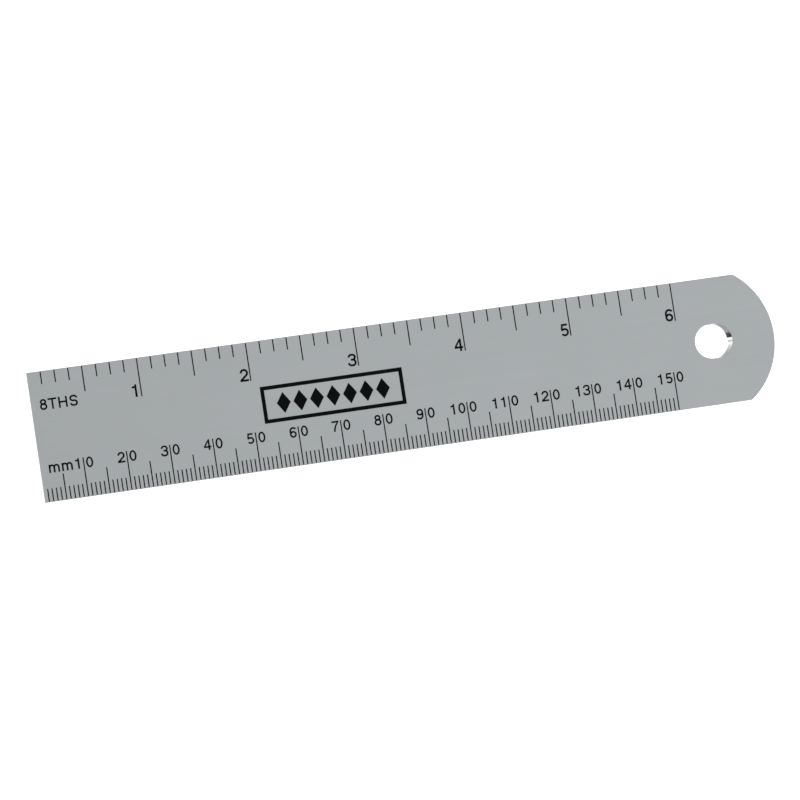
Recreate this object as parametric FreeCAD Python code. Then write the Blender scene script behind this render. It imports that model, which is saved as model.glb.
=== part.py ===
import FreeCAD, Part
import math
import os

os.makedirs("parts", exist_ok=True)

# A flat steel ruler lying face up. +Z is up out of the marked face, +X runs from the
# zero end to the rounded end, the inch scale is on +Y and the millimetre scale on -Y.

# Blade
length = 175.6
width = 30.0
thickness = 1.2
end_radius = 18.4
edge_break = 0.12
zero_end = -length / 2.0
mm_edge = -width / 2.0
inch_edge = width / 2.0

# Hanging hole with a sloped relief on the side of the rounded end
hole_x = 72.55
hole_radius = 4.05
rim_break = 0.12
relief_shift = 0.92
relief_radius = 4.12
relief_floor_radius = 3.7
relief_floor = 0.5

# Etched marks and their black filling
etch_depth = 0.08
fill_recess = 0.01
edge_margin = 0.16
inch = 25.4
inch_line = 0.28
inch_lengths = {"inch_eighth_marks": 3.0, "inch_half_marks": 6.0, "inch_whole_marks": 9.0}
mm_line = 0.28
mm_lengths = {"mm_unit_marks": 3.1, "mm_five_marks": 6.1, "mm_ten_marks": 9.1}
last_mm = 150
last_eighth = 48

# Figures, drawn one unit high and then scaled to their height
stroke = 0.165
mm_figure = 2.5
mm_baseline = 6.6
mm_last_start = 0.38
mm_figure_start = -2.3
mm_figure_pitch = 2.05
inch_figure = 2.95
inch_baseline = 8.97
inch_figure_start = -2.5
label_figure = 2.54
label_start = 1.86

# Plain panel in the middle of the blade
panel_x = -18.5
panel_length = 33.5
panel_height = 8.6
panel_line = 0.9
diamond_count = 7
diamond_pitch = 3.9
diamond_half_length = 1.65
diamond_half_height = 2.45


def vec(x, y, z=0.0):
    return FreeCAD.Vector(x, y, z)


def polygon(*points):
    corners = [vec(x, y) for x, y in points]
    return Part.Face(Part.makePolygon(corners + corners[:1]))


def bar(x0, y0, x1, y1):
    return polygon((x0, y0), (x1, y0), (x1, y1), (x0, y1))


def oval(x, y, half_width, half_height):
    if half_height > half_width:
        curve = Part.Ellipse(vec(x, y + half_height), vec(x + half_width, y), vec(x, y))
    elif half_width > half_height:
        curve = Part.Ellipse(vec(x + half_width, y), vec(x, y + half_height), vec(x, y))
    else:
        curve = Part.Circle(vec(x, y), vec(0, 0, 1), half_width)
    return Part.Face(Part.Wire(curve.toShape()))


def ring(x, y, half_width, half_height, wall=stroke):
    outer = oval(x, y, half_width, half_height)
    return outer.cut(oval(x, y, half_width - wall, half_height - wall))


def ribbon(x, y, heading, moves, breadth=stroke):
    # A move is (distance, 0) straight ahead or (radius, degrees to the left)
    half = breadth / 2.0
    edges = []
    caps = []

    def aside(px, py, angle, offset):
        turn = math.radians(angle + 90)
        return vec(px + offset * math.cos(turn), py + offset * math.sin(turn))

    caps.append(Part.makeLine(aside(x, y, heading, half), aside(x, y, heading, -half)))
    for size, turn in moves:
        if turn == 0:
            end_x = x + size * math.cos(math.radians(heading))
            end_y = y + size * math.sin(math.radians(heading))
            for offset in (half, -half):
                start = aside(x, y, heading, offset)
                edges.append(Part.makeLine(start, aside(end_x, end_y, heading, offset)))
        else:
            side = math.copysign(1, turn)
            centre = aside(x, y, heading, side * size)

            def on_curve(angle):
                point = aside(centre.x, centre.y, angle, -side * size)
                return point.x, point.y

            middle = on_curve(heading + turn / 2.0)
            end_x, end_y = on_curve(heading + turn)
            for offset in (half, -half):
                start = aside(x, y, heading, offset)
                through = aside(middle[0], middle[1], heading + turn / 2.0, offset)
                stop = aside(end_x, end_y, heading + turn, offset)
                edges.append(Part.Arc(start, through, stop).toShape())
        x = end_x
        y = end_y
        heading += turn
    caps.append(Part.makeLine(aside(x, y, heading, half), aside(x, y, heading, -half)))
    return Part.Face(Part.Wire(Part.__sortEdges__(edges + caps)))


def merged(*faces):
    # Prisms unite more cleanly than flat faces, so the foot of the united prism is kept
    prisms = [face.extrude(vec(0, 0, 1)) for face in faces]
    united = prisms[0].fuse(prisms[1:]).removeSplitter()
    foot = [face for face in united.Faces if face.BoundBox.ZMax < 0.001][0]
    return Part.Face(foot.Wires)


half_stroke = stroke / 2.0
top_line = 1 - half_stroke


def two():
    radius = 0.33 - half_stroke
    return merged(
        ribbon(0.385 - radius, 0.67, 90, [(radius, -230), (0.615, 0)]),
        bar(0.03, 0, 0.715, stroke),
    )


def three():
    waist = 0.53
    upper = (top_line - waist) / 2.0
    lower = (waist - half_stroke) / 2.0
    return merged(
        ribbon(0.15, top_line - upper, 90, [(upper, -90), (0.10, 0), (upper, -180), (0.14, 0)]),
        ribbon(0.30, waist, 0, [(0.12, 0), (lower, -180), (0.09, 0), (lower, -90)]),
    )


def four():
    bar_foot = 0.225
    bar_top = bar_foot + stroke
    stem = 0.60 - stroke
    body = polygon((0.60, 0), (0.60, bar_foot), (0.72, bar_foot), (0.72, bar_top),
                   (0.60, bar_top), (0.60, 1), (0.47, 1), (0.03, bar_top), (0.03, bar_foot),
                   (stem, bar_foot), (stem, 0))
    return body.cut(polygon((stem, bar_top), (stem, 0.73), (0.20, bar_top)))


def five():
    radius = 0.33 - half_stroke
    start_x = 0.40 - radius * math.cos(math.radians(30))
    start_y = 0.33 + radius * math.sin(math.radians(30))
    return merged(
        polygon((0.165, 1), (0.655, 1), (0.655, 1 - stroke), (0.295, 1 - stroke),
                (0.27, 0.62), (0.23, 0.46), (0.10, 0.46)),
        ribbon(start_x, start_y, 60, [(radius, -300)]),
    )


def six():
    bowl = 0.32
    bend = 0.27
    return merged(
        ring(0.395, bowl, bowl, bowl),
        ribbon(0.075 + half_stroke, bowl, 90, [(top_line - bend - bowl, 0), (bend, -150)]),
    )


def nine():
    shape = six()
    shape.rotate(vec(0.395, 0.5), vec(0, 0, 1), 180)
    return shape


def letter_s():
    radius = (1 - stroke) / 4.0
    flat = (0.14, 0)
    return ribbon(0.825 - half_stroke, top_line - radius, 90, [
        (radius, 90), flat, (radius, 180), flat, (radius, -180), flat, (radius, -90)])


def letter_m():
    left = 0.095
    arch = 0.205
    spring = 0.75 - half_stroke - arch
    first = left + half_stroke
    return merged(
        bar(left, 0, left + stroke, 0.74),
        ribbon(first, spring, 90, [(arch, -180), (spring, 0)]),
        ribbon(first + 2 * arch, spring, 90, [(arch, -180), (spring, 0)]),
    )


glyphs = {
    "0": ring(0.39, 0.5, 0.33, 0.5),
    "1": polygon((0.53 - stroke, 0), (0.53, 0), (0.53, 1), (0.42, 1), (0.36, 0.88),
                 (0.155, 0.83), (0.155, 0.70), (0.53 - stroke, 0.70)),
    "2": two(),
    "3": three(),
    "4": four(),
    "5": five(),
    "6": six(),
    "7": polygon((0.06, 1), (0.72, 1), (0.72, 0.87), (0.50, 0.55), (0.375, 0.25), (0.345, 0),
                 (0.175, 0), (0.215, 0.27), (0.335, 0.56), (0.53, 1 - stroke),
                 (0.06, 1 - stroke)),
    "8": merged(ring(0.39, 0.735, 0.29, 0.265), ring(0.39, 0.31, 0.33, 0.31)),
    "9": nine(),
    "T": merged(
        bar(0.03, 1 - stroke, 0.83, 1),
        bar(0.43 - half_stroke, 0, 0.43 + half_stroke, 1),
    ),
    "H": merged(
        bar(0.11, 0, 0.11 + stroke, 1),
        bar(0.91 - stroke, 0, 0.91, 1),
        bar(0.11, 0.44, 0.91, 0.44 + stroke),
    ),
    "S": letter_s(),
    "m": letter_m(),
}
advances = {"T": 0.86, "H": 1.02, "S": 0.94, "m": 1.175, "8": 0.784}


def glyph(letter, height, x, y):
    shape = glyphs[letter].scaled(height, vec(0, 0))
    shape.translate(vec(x, y))
    return shape


def label(text, height, x, y):
    faces = []
    for letter in text:
        faces.append(glyph(letter, height, x, y))
        x += advances[letter] * height
    return faces


marks = {name: [] for name in list(inch_lengths) + list(mm_lengths)}

# Inch scale: eighths, halves and whole inches along the +Y edge
for eighth in range(1, last_eighth + 1):
    if eighth % 8 == 0:
        name = "inch_whole_marks"
    elif eighth % 4 == 0:
        name = "inch_half_marks"
    else:
        name = "inch_eighth_marks"
    x = zero_end + eighth * inch / 8.0
    half = inch_line / 2.0
    reach = inch_edge - inch_lengths[name]
    marks[name].append(bar(x - half, reach, x + half, inch_edge - edge_margin))

# Millimetre scale along the -Y edge
for step in range(1, last_mm + 1):
    if step % 10 == 0:
        name = "mm_ten_marks"
    elif step % 5 == 0:
        name = "mm_five_marks"
    else:
        name = "mm_unit_marks"
    x = zero_end + step
    half = mm_line / 2.0
    reach = mm_edge + mm_lengths[name]
    marks[name].append(bar(x - half, mm_edge + edge_margin, x + half, reach))

# Inch figures stand just before their line
for number in range(1, last_eighth // 8 + 1):
    x = zero_end + number * inch + inch_figure_start
    face = glyph(str(number), inch_figure, x, inch_edge - inch_baseline)
    marks["inch_numeral_%d" % number] = [face]

# The line of each ten passes between its last figure and the ones before it
for number in range(10, last_mm + 1, 10):
    digits = str(number)
    tick = zero_end + number
    y = mm_edge + mm_baseline
    faces = [glyph(digits[-1], mm_figure, tick + mm_last_start, y)]
    for place, digit in enumerate(reversed(digits[:-1])):
        x = tick + mm_figure_start - place * mm_figure_pitch
        faces.append(glyph(digit, mm_figure, x, y))
    marks["mm_numeral_%d" % number] = faces

start = zero_end + label_start
marks["eighths_label"] = label("8THS", label_figure, start, inch_edge - inch_baseline)
marks["mm_label"] = label("mm", label_figure, start - 0.15, mm_edge + mm_baseline)

# Panel: a square-cornered frame around a row of diamonds
half_length = panel_length / 2.0
half_height = panel_height / 2.0
outer = bar(panel_x - half_length, -half_height, panel_x + half_length, half_height)
inner = bar(panel_x - half_length + panel_line, -half_height + panel_line,
            panel_x + half_length - panel_line, half_height - panel_line)
marks["panel_frame"] = [outer.cut(inner)]
marks["panel_diamonds"] = []
for place in range(diamond_count):
    x = panel_x + (place - (diamond_count - 1) / 2.0) * diamond_pitch
    marks["panel_diamonds"].append(polygon(
        (x - diamond_half_length, 0), (x, -diamond_half_height),
        (x + diamond_half_length, 0), (x, diamond_half_height)))


def raised(faces, height):
    # Prisms of the given height standing on the floor of the etching
    solids = []
    for face in faces:
        prism = face.extrude(vec(0, 0, height))
        prism.translate(vec(0, 0, thickness - etch_depth))
        solids.extend(prism.Solids)
    return solids


# Blade: square zero end, parallel long edges, one arc at the far end
arc_x = length / 2.0 - end_radius
meet_x = arc_x + math.sqrt(end_radius ** 2 - (width / 2.0) ** 2)
low = vec(meet_x, mm_edge)
high = vec(meet_x, inch_edge)
outline = Part.Wire([
    Part.makeLine(vec(zero_end, mm_edge), low),
    Part.Arc(low, vec(length / 2.0, 0), high).toShape(),
    Part.makeLine(high, vec(zero_end, inch_edge)),
    Part.makeLine(vec(zero_end, inch_edge), vec(zero_end, mm_edge)),
])
blade = Part.Face(outline).extrude(vec(0, 0, thickness))
flat_edges = [edge for edge in blade.Edges if edge.BoundBox.ZLength < 0.001]
blade = blade.makeFillet(edge_break, flat_edges)

# Hanging hole: a round bore, a broken front rim and the sloped relief
bore = Part.makeCylinder(hole_radius, thickness + 2, vec(hole_x, 0, -1))
rim_depth = rim_break + 0.05
rim = Part.makeCone(hole_radius - 0.05, hole_radius + rim_break, rim_depth,
                    vec(hole_x, 0, thickness - rim_depth))
floor_circle = Part.Circle(vec(hole_x, 0, relief_floor), vec(0, 0, 1), relief_floor_radius)
mouth_circle = Part.Circle(vec(hole_x + relief_shift, 0, thickness), vec(0, 0, 1),
                           relief_radius)
relief = Part.makeLoft([Part.Wire(floor_circle.toShape()), Part.Wire(mouth_circle.toShape())],
                       True, True)
blade = blade.cut([bore, rim, relief])

pockets = []
for faces in marks.values():
    pockets.extend(raised(faces, etch_depth + 0.2))
blade = blade.cut(pockets)
blade.Solids[0].exportStep("parts/blade.step")

for name, faces in marks.items():
    Part.makeCompound(raised(faces, etch_depth - fill_recess)).exportStep(
        "parts/%s.step" % name)

print("blade valid", blade.isValid(), "solids", len(blade.Solids), "nodes", len(marks) + 1)
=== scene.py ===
import bpy
import math
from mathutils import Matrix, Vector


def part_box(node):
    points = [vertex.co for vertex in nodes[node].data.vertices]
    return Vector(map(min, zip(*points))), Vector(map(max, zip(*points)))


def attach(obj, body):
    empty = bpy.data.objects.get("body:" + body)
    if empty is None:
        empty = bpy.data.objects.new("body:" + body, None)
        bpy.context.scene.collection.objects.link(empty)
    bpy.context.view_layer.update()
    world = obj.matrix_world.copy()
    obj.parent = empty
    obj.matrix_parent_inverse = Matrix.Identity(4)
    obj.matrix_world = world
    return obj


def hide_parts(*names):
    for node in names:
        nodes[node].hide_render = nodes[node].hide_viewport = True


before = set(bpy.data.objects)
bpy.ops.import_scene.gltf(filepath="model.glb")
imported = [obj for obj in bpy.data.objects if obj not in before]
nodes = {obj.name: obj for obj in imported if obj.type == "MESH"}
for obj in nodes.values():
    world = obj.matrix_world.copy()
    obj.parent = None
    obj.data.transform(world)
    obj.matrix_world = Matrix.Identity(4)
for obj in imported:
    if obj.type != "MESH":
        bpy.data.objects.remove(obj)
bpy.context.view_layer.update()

mm = 0.001
near = 0.01 * mm  # closer than this counts as the same place


class Socket:  # wraps one output so that maths on it reads as maths
    def __init__(self, tree, out):
        self.tree = tree
        self.out = out

    def math(self, kind, *values):
        node = self.tree.nodes.new("ShaderNodeMath")
        node.operation = kind
        for place, value in enumerate((self,) + values):
            plug(self.tree, node.inputs[place], value)
        return Socket(self.tree, node.outputs[0])

    def __add__(self, other):
        return self.math("ADD", other)

    def __radd__(self, other):
        return self.math("ADD", other)

    def __sub__(self, other):
        return self.math("SUBTRACT", other)

    def __rsub__(self, other):
        return (self * -1.0) + other

    def __mul__(self, other):
        return self.math("MULTIPLY", other)

    def __rmul__(self, other):
        return self.math("MULTIPLY", other)

    def __truediv__(self, other):
        return self.math("DIVIDE", other)

    def __rtruediv__(self, other):
        return self.math("POWER", -1.0) * other

    def __gt__(self, other):
        return self.math("GREATER_THAN", other)

    def __lt__(self, other):
        return self.math("LESS_THAN", other)


def plug(tree, target, value):
    if isinstance(value, Socket):
        tree.links.new(value.out, target)
    else:
        target.default_value = value


class Shader:  # a material and its node tree
    def __init__(self, name):
        self.material = bpy.data.materials.new(name)
        self.material.use_nodes = True
        self.tree = self.material.node_tree
        self.surface = self.tree.nodes["Principled BSDF"]

    def node(self, kind, settings=None, inputs=None, output=0):
        made = self.tree.nodes.new(kind)
        for key, value in (settings or {}).items():
            setattr(made, key, value)
        for key, value in (inputs or {}).items():
            plug(self.tree, made.inputs[key], value)
        return Socket(self.tree, made.outputs[output])

    def place(self):
        return self.node("ShaderNodeTexCoord", output="Object")

    def axes(self):
        split = self.tree.nodes.new("ShaderNodeSeparateXYZ")
        plug(self.tree, split.inputs[0], self.place())
        return [Socket(self.tree, out) for out in split.outputs]

    def noise(self, stretch, detail=3.0, roughness=0.55):
        spread = self.node("ShaderNodeMapping", inputs={"Vector": self.place(), "Scale": stretch})
        return self.node("ShaderNodeTexNoise", inputs={
            "Vector": spread, "Scale": 1.0, "Detail": detail, "Roughness": roughness})

    def blend(self, factor, first, second):
        return self.node("ShaderNodeMix", {"data_type": "RGBA"},
                         {0: factor, 6: first, 7: second}, output=2)

    def ramp(self, factor, stops):
        made = self.tree.nodes.new("ShaderNodeValToRGB")
        steps = made.color_ramp.elements
        while len(steps) < len(stops):
            steps.new(0.5)  # its position is set below
        for step, (position, shade) in zip(steps, stops):
            step.position = position
            step.color = (shade, shade, shade, 1.0)
        plug(self.tree, made.inputs[0], factor)
        return Socket(self.tree, made.outputs[0])

    def set(self, **values):
        for key, value in values.items():
            plug(self.tree, self.surface.inputs[key.replace("_", " ")], value)
        return self.material


def only(obj):
    bpy.ops.object.select_all(action="DESELECT")
    obj.select_set(True)
    bpy.context.view_layer.objects.active = obj
    return obj


def pick(obj, kind, test):  # selects vertices or edges by a test, in edit mode
    bpy.ops.object.mode_set(mode="EDIT")
    bpy.ops.mesh.select_mode(type="VERT" if kind == "vertices" else "EDGE")
    bpy.ops.mesh.select_all(action="DESELECT")
    bpy.ops.object.mode_set(mode="OBJECT")
    places = [v.co for v in obj.data.vertices]
    for item in getattr(obj.data, kind):
        if kind == "vertices":
            item.select = test(item.co)
        else:
            item.select = all(test(places[v]) for v in item.vertices)
    bpy.ops.object.mode_set(mode="EDIT")


def settle(obj):  # place and size go into the mesh
    only(obj)
    bpy.ops.object.transform_apply(location=True, rotation=True, scale=True)


def carve(obj, cutter):
    only(obj)
    cut = obj.modifiers.new("cut", "BOOLEAN")
    cut.operation = "DIFFERENCE"
    cut.solver = "EXACT"
    cut.object = cutter
    bpy.ops.object.modifier_apply(modifier=cut.name)
    bpy.data.objects.remove(cutter)


low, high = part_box("blade")

blade = {
    "endRadius": 18.4 * mm,
    "endSteps": 120,
    "edgeBreak": 0.12 * mm,
    "breakSteps": 4,
    "smoothAngle": 8.0,
    "flatNormal": 0.999,
    "pickWithin": 0.1 * mm,
}
hole = {
    "x": 72.55 * mm,
    "radius": 4.05 * mm,
    "steps": 180,
    "reliefSteps": 166,
    "boreDepth": 10.0 * mm,  # more than the sheet is thick
    "rimBreak": 0.12 * mm,
    "reliefShift": 0.92 * mm,
    "reliefRadius": 4.12 * mm,
    "reliefFloorRadius": 3.7 * mm,
    "reliefFloor": 0.5 * mm,
    "rimSpare": 0.05 * mm,  # how far the cutters stand out of the face
    "reliefSpare": 0.3 * mm,
}
etching = {
    "fillHeight": 0.07 * mm,
    "clear": 0.2 * mm,  # the cutters stand this far out of the fillings
    "weld": 0.001 * mm,
}


def makeBlade():
    halfWidth = high[1]
    arcX = high[0] - blade["endRadius"]
    meetX = arcX + math.sqrt(blade["endRadius"] ** 2 - halfWidth ** 2)
    sweep = 2.0 * math.asin(halfWidth / blade["endRadius"])
    bpy.ops.mesh.primitive_plane_add(size=1.0, location=((low[0] + meetX) / 2.0, 0.0, low[2]))
    body = bpy.context.object
    body.name = "steelBlade"
    body.scale = (meetX - low[0], high[1] - low[1], 1.0)
    settle(body)
    bpy.ops.object.mode_set(mode="EDIT")
    bpy.ops.mesh.select_all(action="SELECT")
    bpy.ops.mesh.delete(type="ONLY_FACE")
    pick(body, "edges", lambda p: p.x > meetX - blade["pickWithin"])
    bpy.ops.mesh.delete(type="EDGE_FACE")
    pick(body, "vertices", lambda p: p.x > meetX - blade["pickWithin"] and p.y < 0)
    bpy.ops.mesh.spin(steps=blade["endSteps"], angle=-sweep, center=(arcX, 0.0, low[2]),
                      axis=(0.0, 0.0, 1.0))
    bpy.ops.mesh.select_all(action="SELECT")
    bpy.ops.mesh.remove_doubles(threshold=near)
    bpy.ops.mesh.select_all(action="SELECT")
    bpy.ops.mesh.edge_face_add()
    bpy.ops.mesh.extrude_region_move(
        TRANSFORM_OT_translate={"value": (0.0, 0.0, high[2] - low[2])})
    bpy.ops.mesh.select_all(action="SELECT")
    bpy.ops.mesh.normals_make_consistent(inside=False)
    for flat in (low[2], high[2]):
        pick(body, "edges", lambda p: abs(p.z - flat) < near)
        bpy.ops.mesh.bevel(offset=blade["edgeBreak"], segments=blade["breakSteps"],
                           affect="EDGES", clamp_overlap=False)
    bpy.ops.object.mode_set(mode="OBJECT")
    return body


def boreCutter():
    bpy.ops.mesh.primitive_cylinder_add(vertices=hole["steps"], radius=hole["radius"],
                                        depth=hole["boreDepth"], location=(hole["x"], 0.0, 0.0))
    return only(bpy.context.object)


def rimCutter():
    spare = hole["rimSpare"]
    depth = hole["rimBreak"] + 2.0 * spare
    bpy.ops.mesh.primitive_cone_add(
        vertices=hole["steps"], radius1=hole["radius"] - spare,
        radius2=hole["radius"] + hole["rimBreak"] + spare, depth=depth,
        location=(hole["x"], 0.0, high[2] + spare - depth / 2.0))
    return only(bpy.context.object)


def reliefCutter():
    spare = hole["reliefSpare"]
    depth = high[2] - hole["reliefFloor"]
    longer = (depth + spare) / depth
    widening = hole["reliefRadius"] - hole["reliefFloorRadius"]
    bpy.ops.mesh.primitive_cone_add(
        vertices=hole["reliefSteps"], radius1=hole["reliefFloorRadius"],
        radius2=hole["reliefFloorRadius"] + widening * longer, depth=depth + spare,
        location=(hole["x"], 0.0, hole["reliefFloor"] + (depth + spare) / 2.0))
    cutter = bpy.context.object
    settle(cutter)
    pick(cutter, "vertices", lambda p: p.z > high[2])
    bpy.ops.transform.translate(value=(hole["reliefShift"] * longer, 0.0, 0.0))
    bpy.ops.object.mode_set(mode="OBJECT")
    return only(cutter)


def pocketCutter():  # every filling, copied, joined and raised above the face
    bpy.ops.object.select_all(action="DESELECT")
    for name, node in nodes.items():
        if name != "blade":
            copy = node.copy()
            copy.data = node.data.copy()
            copy.parent = None
            bpy.context.scene.collection.objects.link(copy)
            copy.select_set(True)
            bpy.context.view_layer.objects.active = copy
    bpy.ops.object.join()
    cutter = bpy.context.object
    settle(cutter)
    bpy.ops.object.mode_set(mode="EDIT")
    bpy.ops.mesh.select_all(action="SELECT")
    bpy.ops.mesh.remove_doubles(threshold=etching["weld"])
    top = cutter.bound_box[6][2] - etching["fillHeight"] / 2.0
    pick(cutter, "vertices", lambda p: p.z > top)
    bpy.ops.transform.translate(value=(0.0, 0.0, etching["clear"]))
    bpy.ops.object.mode_set(mode="OBJECT")
    return cutter


steelBlade = makeBlade()
print("blade blank made")
carve(steelBlade, reliefCutter())
carve(steelBlade, boreCutter())
carve(steelBlade, rimCutter())
print("hanging hole cut")
carve(steelBlade, pocketCutter())
only(steelBlade)
bpy.ops.object.shade_smooth_by_angle(angle=math.radians(blade["smoothAngle"]))
for face in steelBlade.data.polygons:  # faces that point straight up or down are shaded flat
    if abs(face.normal.z) > blade["flatNormal"]:
        face.use_smooth = False
steelBlade.data.materials.clear()
print("marks etched", len(steelBlade.data.polygons), "faces")


steelLook = {
    "shade": (0.362, 0.384, 0.390, 1.0),
    "brightShade": (0.448, 0.470, 0.480, 1.0),
    "streaks": (9.0, 1300.0, 1300.0),
    "streakDetail": 4.0,
    "streakRoughness": 0.6,
    "patches": (60.0, 90.0, 90.0),
    "streakShare": 0.7,
    "patchShare": 0.3,
    "roughness": 0.42,
    "roughnessSpread": 0.10,
}
reliefPaintedShade = {  # painted shade and painted highlight: grey bands painted across the sloped relief, from the millimetre side to the inch side, dark where the wall lies in shade and bright where it catches the light
    "halfSpan": 4.2 * mm,
    "rim": 4.35 * mm,
    "belowFace": 0.02 * mm,
    "startsPast": 0.5 * mm,
    "paintedShadeBands": [(0.0, 0.75), (0.30, 0.95), (0.34, 1.0), (0.405, 1.0), (0.42, 0.60), (0.475, 0.55),
              (0.485, 1.0), (0.535, 1.0), (0.55, 0.03), (0.66, 0.08), (0.72, 0.45), (0.85, 0.65),
              (1.0, 0.65)],
}


def makeSteel():
    steel = Shader("brushedSteel")
    x, y, z = steel.axes()
    streak = steel.noise(steelLook["streaks"], detail=steelLook["streakDetail"],
                         roughness=steelLook["streakRoughness"])
    patch = steel.noise(steelLook["patches"])
    mixed = streak * steelLook["streakShare"] + patch * steelLook["patchShare"]
    face = steel.blend(mixed, steelLook["shade"], steelLook["brightShade"])
    fromHole = steel.node("ShaderNodeVectorMath", {"operation": "LENGTH"}, {
        0: steel.node("ShaderNodeCombineXYZ", inputs={
            0: x - (hole["x"] + hole["reliefShift"]), 1: y, 2: 0.0})}, output="Value")
    # where the painted shade and highlight bands go: the relief wall past the hole, below the
    # face
    inside = fromHole < reliefPaintedShade["rim"]
    below = z < high[2] - reliefPaintedShade["belowFace"]
    farSide = x > hole["x"] + reliefPaintedShade["startsPast"]
    across = (y + reliefPaintedShade["halfSpan"]) / (2.0 * reliefPaintedShade["halfSpan"])
    # the relief wall's light and shade are painted into its colour as grey bands, a painted shade
    # and a painted highlight
    paintedShadeBands = steel.ramp(across, reliefPaintedShade["paintedShadeBands"])
    colour = steel.blend(inside * below * farSide, face, paintedShadeBands)
    rough = steelLook["roughness"] + (streak - 0.5) * steelLook["roughnessSpread"]
    return steel.set(Base_Color=colour, Roughness=rough, Metallic=1.0)


fillLook = {
    "shade": (0.0015, 0.0018, 0.0022, 1.0),
    "paleShade": (0.005, 0.0055, 0.006, 1.0),
    "grain": (900.0, 900.0, 900.0),
    "roughness": 0.6,
    "sheen": 0.04,
    "roughnessSpread": 0.2,
}


def makeFill():
    fill = Shader("blackFilling")
    grain = fill.noise(fillLook["grain"])
    colour = fill.blend(grain, fillLook["shade"], fillLook["paleShade"])
    rough = fillLook["roughness"] + (grain - 0.5) * fillLook["roughnessSpread"]
    return fill.set(Base_Color=colour, Roughness=rough, Specular_IOR_Level=fillLook["sheen"])


steelBlade.data.materials.append(makeSteel())
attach(steelBlade, "root")
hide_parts("blade")

blackFilling = makeFill()
for name, node in nodes.items():
    if name != "blade":
        node.data.materials.clear()
        node.data.materials.append(blackFilling)
print("materials made")


studio = {
    "floorDrop": 0.05 * mm,
    "floorSize": 4.0,
    "floorGlow": 0.85,
    "floorGlowShade": (1.0, 1.0, 1.0, 1.0),
    "floorRoughness": 0.9,
    "floorGrain": (40.0, 40.0, 40.0),
    "floorShade": (0.88, 0.88, 0.88, 1.0),
    "floorPaleShade": (0.92, 0.92, 0.92, 1.0),
    "worldShade": 0.42,
    "lamps": [  # name, place, size in metres, power
        ("overhead", (0.50, 0.10, 1.25), 1.6, 5.6),
        ("lowerRight", (0.55, -0.60, 0.25), 0.6, 2.0),
        ("left", (-0.75, 0.00, 0.70), 0.7, 2.2),
    ],
}


def makeFloor():
    bpy.ops.mesh.primitive_plane_add(size=studio["floorSize"],
                                     location=(0.0, 0.0, low[2] - studio["floorDrop"]))
    floor = bpy.context.object
    floor.name = "floor"
    settle(floor)
    paper = Shader("paper")
    grain = paper.noise(studio["floorGrain"])
    shade = paper.blend(grain, studio["floorShade"], studio["floorPaleShade"])
    floor.data.materials.append(paper.set(
        Base_Color=shade, Roughness=studio["floorRoughness"],
        Emission_Color=studio["floorGlowShade"], Emission_Strength=studio["floorGlow"]))


def makeLamp(name, place, size, power):
    bpy.ops.object.light_add(type="AREA", location=place)
    lamp = bpy.context.object
    lamp.name = name
    lamp.data.size = size
    lamp.data.energy = power
    turn = lamp.constraints.new("TRACK_TO")
    turn.target = bpy.data.objects["floor"]
    turn.track_axis = "TRACK_NEGATIVE_Z"
    turn.up_axis = "UP_Y"
    only(lamp)
    bpy.ops.constraint.apply(constraint=turn.name)


view = {
    "fromCorner": (-53.33 * mm, -34.05 * mm, 798.0 * mm),  # from the zero end's millimetre corner
    "angles": (4.697, -9.198, -8.825),
    "lens": 157.5,
    "sensorWidth": 36.0,
    "clipStart": 0.01,
}


def makeCamera():
    place = [corner + step for corner, step in
             zip((low[0], low[1], high[2]), view["fromCorner"])]
    bpy.ops.object.camera_add(location=place,
                              rotation=[math.radians(a) for a in view["angles"]])
    camera = bpy.context.object
    camera.data.lens = view["lens"]
    camera.data.sensor_width = view["sensorWidth"]
    camera.data.clip_start = view["clipStart"]
    bpy.context.scene.camera = camera


makeFloor()
for lamp in studio["lamps"]:
    makeLamp(*lamp)
makeCamera()

world = bpy.data.worlds.new("studio")
bpy.context.scene.world = world
world.use_nodes = True
grey = studio["worldShade"]
world.node_tree.nodes["Background"].inputs[0].default_value = (grey, grey, grey, 1.0)
bpy.context.scene.view_settings.view_transform = "Standard"
print("floor, lights and camera placed")
